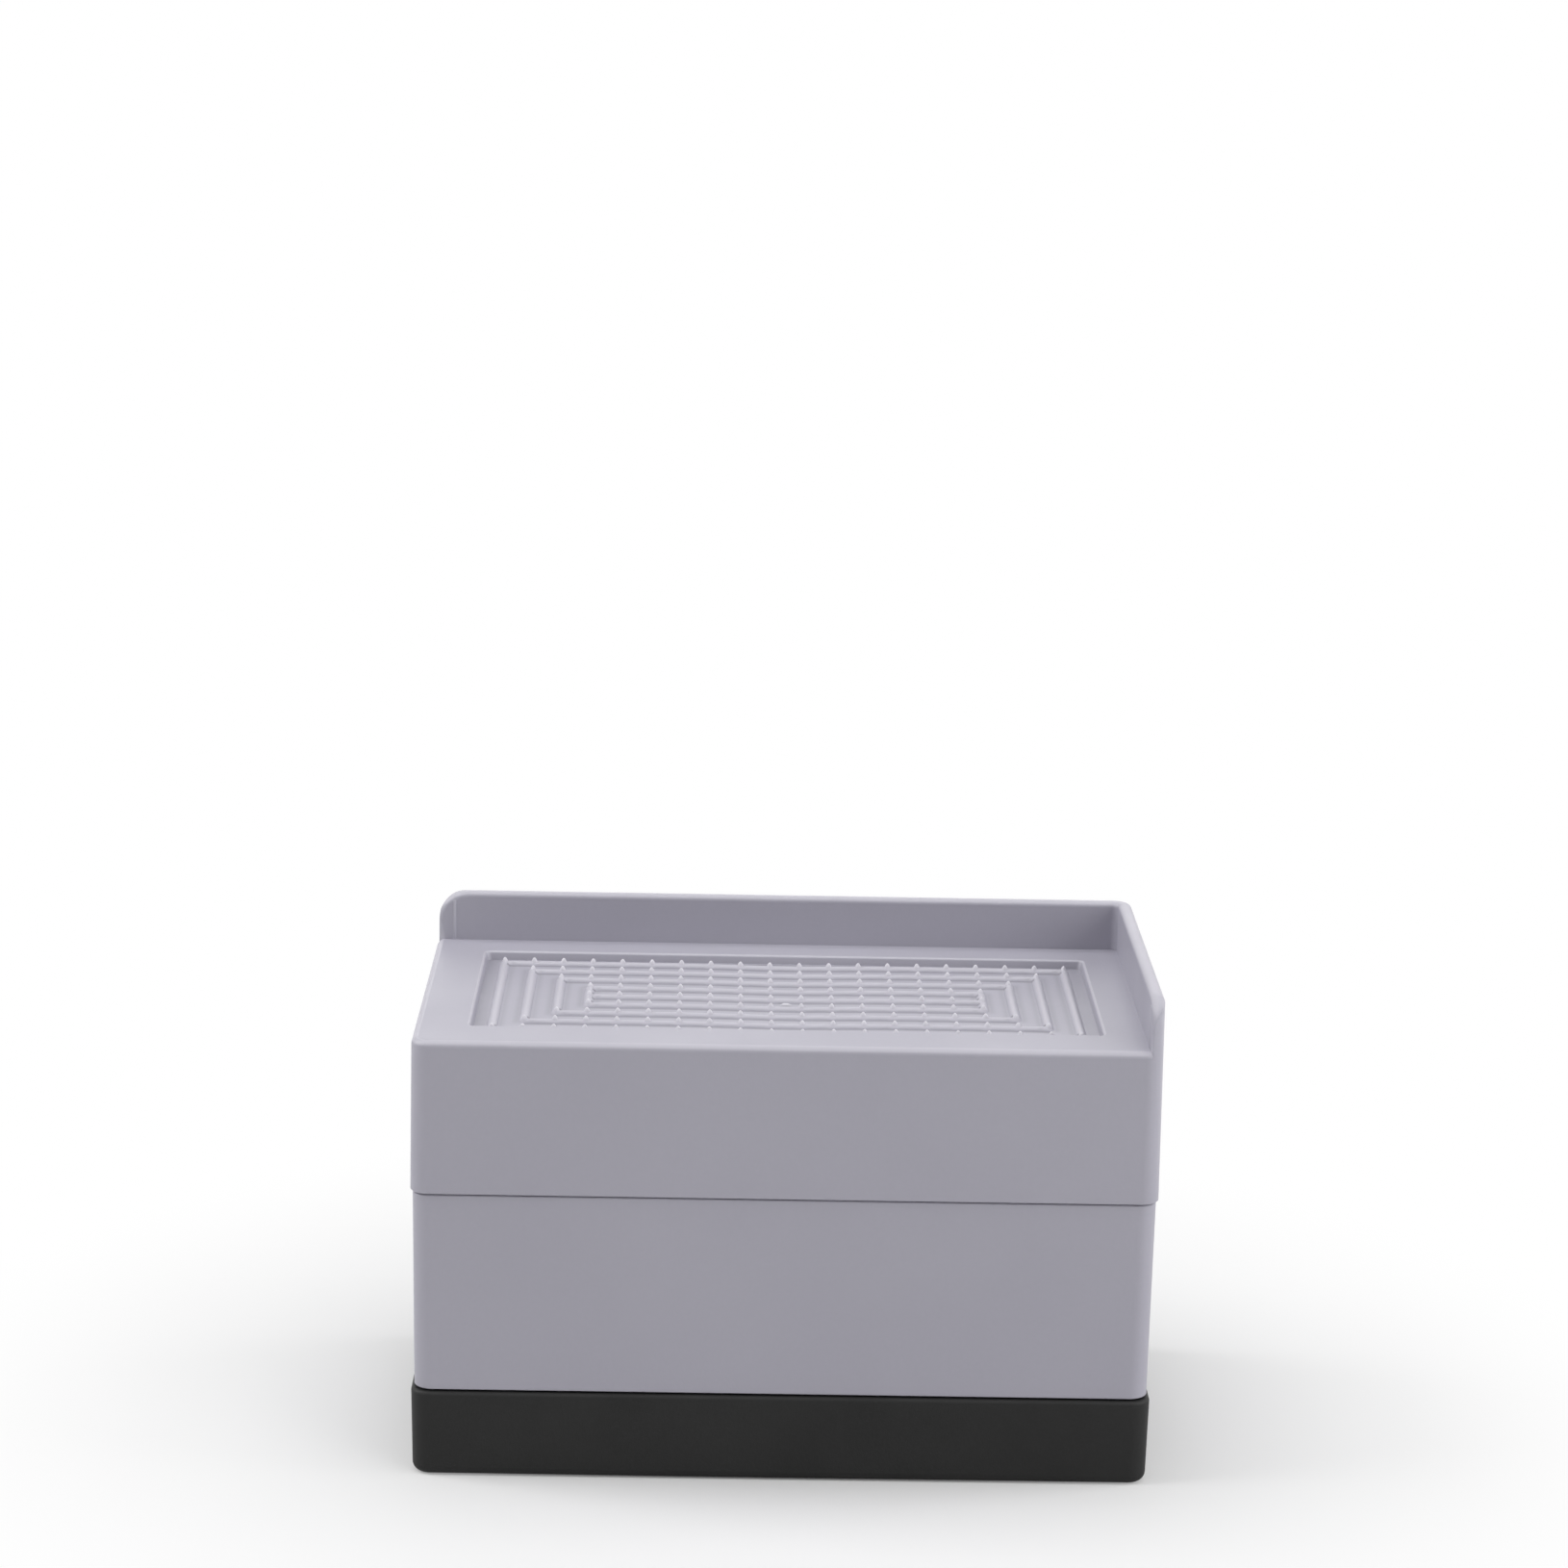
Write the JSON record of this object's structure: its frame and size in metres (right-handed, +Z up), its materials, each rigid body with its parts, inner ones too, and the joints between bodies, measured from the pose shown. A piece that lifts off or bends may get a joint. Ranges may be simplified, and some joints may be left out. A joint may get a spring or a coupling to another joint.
{
  "type": "bed riser",
  "caption": "Rectangular stacking bed riser: a black rubber foot cup, a grey tub body and a grey platform with a dotted tread and an L-shaped guard that keeps a furniture leg from sliding off.",
  "frame": {"origin": "on the floor, under the middle of the plan", "axes": "+Z up, +X along the long side towards the short guard, +Y towards the long guard"},
  "size_m": [0.1196, 0.0648, 0.0814],
  "materials": {
    "grey_moulding": "fine moulded texture, satin",
    "black_rubber": "matt moulded rubber"
  },
  "bodies": {
    "root": {"rubber_foot": "black_rubber", "riser_body": "grey_moulding", "top_platform": "grey_moulding"}
  },
  "joints": []
}
